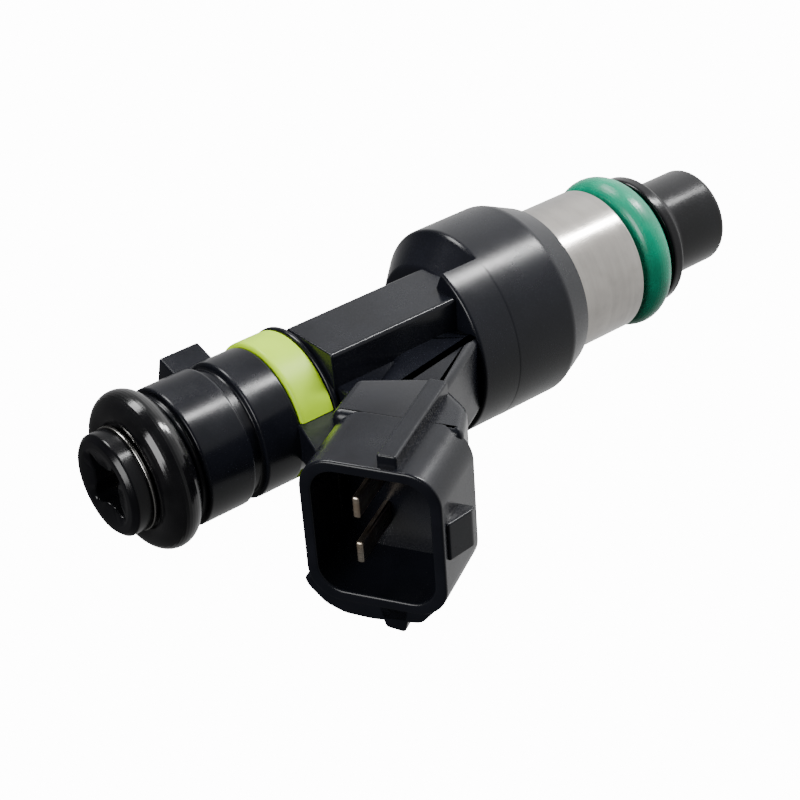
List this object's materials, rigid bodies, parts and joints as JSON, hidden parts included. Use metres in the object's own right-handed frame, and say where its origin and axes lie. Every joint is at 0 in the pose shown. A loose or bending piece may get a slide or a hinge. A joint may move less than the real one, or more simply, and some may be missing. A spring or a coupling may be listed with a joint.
{
  "type": "fuel injector",
  "caption": "Port fuel injector with a top fuel inlet, a slanted two-blade electrical socket, a bare steel sleeve, seal rings at both ends and a lifting needle.",
  "frame": {"origin": "centre of the nozzle's end face, on the injector's axis", "axes": "+Z along the injector's axis towards the fuel inlet, +X the side the electrical socket leans to"},
  "size_m": [0.0368, 0.0192, 0.071],
  "materials": {
    "overmould_housing": "satin black moulded plastic",
    "inlet_cap": "gloss black",
    "nose_cap": "gloss black",
    "upper_seal_ring": "oiled black rubber",
    "lower_seal_ring": "green rubber",
    "colour_ring": "lime plastic",
    "inlet_tube": "bright steel",
    "steel_sleeve": "turned steel",
    "valve_body": "turned steel",
    "orifice_plate": "bright steel",
    "valve_needle": "ground steel",
    "adjusting_tube": "bright steel",
    "return_spring": "spring steel",
    "filter_mesh": "fine mesh",
    "armature": "magnetic steel",
    "fixed_core": "magnetic steel",
    "coil_shell": "magnetic steel",
    "yoke_plate": "magnetic steel",
    "filter_ring": "bright brass",
    "filter_cage": "natural nylon",
    "coil_bobbin": "brown plastic",
    "coil_winding": "lacquered copper wire",
    "terminal_left": "tinned",
    "terminal_right": "tinned"
  },
  "bodies": {
    "injector": {"overmould_housing": "overmould_housing", "inlet_cap": "inlet_cap", "nose_cap": "nose_cap", "upper_seal_ring": "upper_seal_ring", "lower_seal_ring": "lower_seal_ring", "colour_ring": "colour_ring", "inlet_tube": "inlet_tube", "steel_sleeve": "steel_sleeve", "valve_body": "valve_body", "orifice_plate": "orifice_plate", "adjusting_tube": "adjusting_tube", "filter_mesh": "filter_mesh", "fixed_core": "fixed_core", "coil_shell": "coil_shell", "yoke_plate": "yoke_plate", "filter_ring": "filter_ring", "filter_cage": "filter_cage", "coil_bobbin": "coil_bobbin", "coil_winding": "coil_winding", "terminal_left": "terminal_left", "terminal_right": "terminal_right"},
    "needle_group": {"armature": "armature", "valve_needle": "valve_needle", "return_spring": "return_spring"}
  },
  "joints": [
    {"name": "needle_lift", "type": "slide", "parent": "injector", "child": "needle_group", "axis": [0, 0, 1], "range_m": [0, 0.00008], "stiffness_N_per_m": 1500, "springref_m": -0.001, "deforming": ["return_spring"]}
  ]
}
